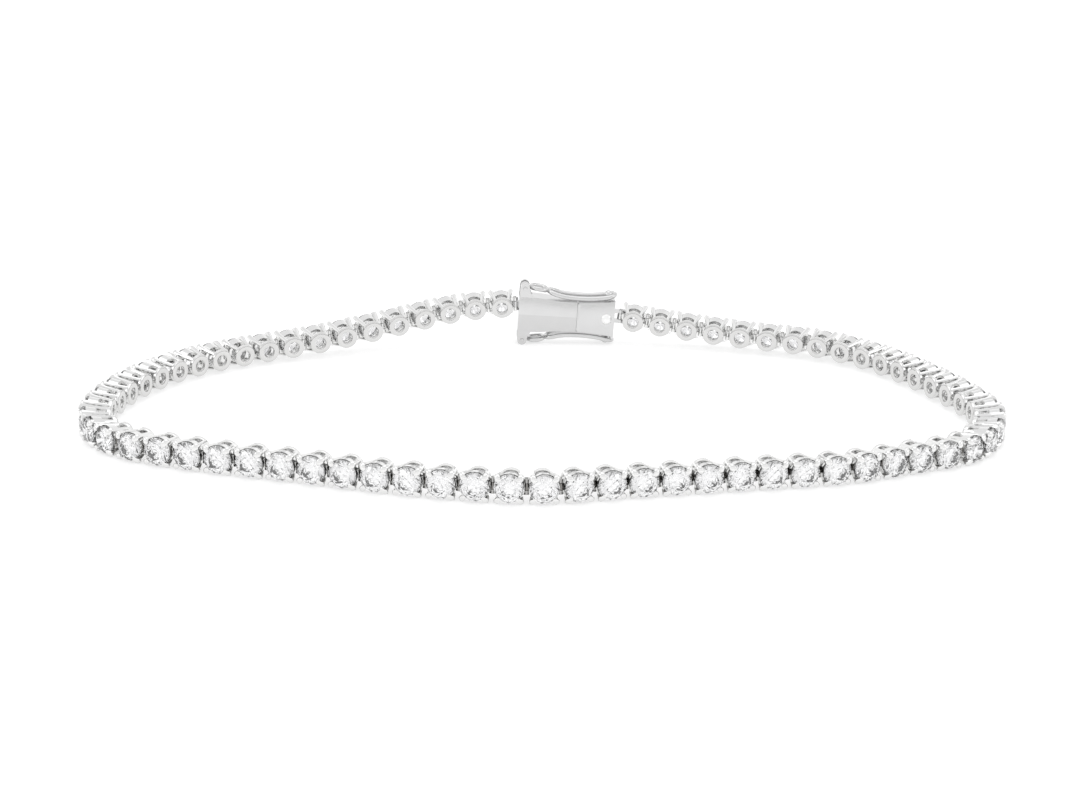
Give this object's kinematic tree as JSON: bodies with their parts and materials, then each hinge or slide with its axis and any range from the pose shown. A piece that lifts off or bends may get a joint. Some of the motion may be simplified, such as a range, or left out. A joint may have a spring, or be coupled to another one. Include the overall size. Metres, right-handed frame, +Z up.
{
  "type": "tennis bracelet",
  "caption": "Closed line of small round stones in pinned four-prong settings, with an hourglass box clasp and hinged figure-eight safety catches, lying on its side.",
  "frame": {"origin": "on the surface that the bracelet lies on, under the middle of its bounding box", "axes": "+X along the loop's long way, +Y to the side where the clasp is, +Z up through the loop, as it lies on its side"},
  "size_m": [0.0713, 0.0427, 0.0055],
  "materials": {
    "settings": "bright white precious metal, rhodium plated, polished",
    "stones": "colourless round brilliant cut stones",
    "clasp_metal": "bright white precious metal, polished, with fine wear",
    "catch_wire": "bright white polished wire"
  },
  "bodies": {
    "bracelet": {"setting_chain": "settings", "clasp_box": "clasp_metal", "clasp_tongue": "clasp_metal"},
    "upper_catch": {"safety_catch_upper": "catch_wire"},
    "lower_catch": {"safety_catch_lower": "catch_wire"}
  },
  "joints": [
    {"name": "upper_catch_hinge", "type": "hinge", "parent": "bracelet", "child": "upper_catch", "pos_m": [-0.00215, 0.01974, 0.00507], "axis": [0.0454, -0.999, 0], "range_deg": [0, 130]},
    {"name": "lower_catch_hinge", "type": "hinge", "parent": "bracelet", "child": "lower_catch", "pos_m": [-0.00239, 0.01972, 0.00042], "axis": [-0.0454, 0.999, 0], "range_deg": [0, 130]}
  ]
}
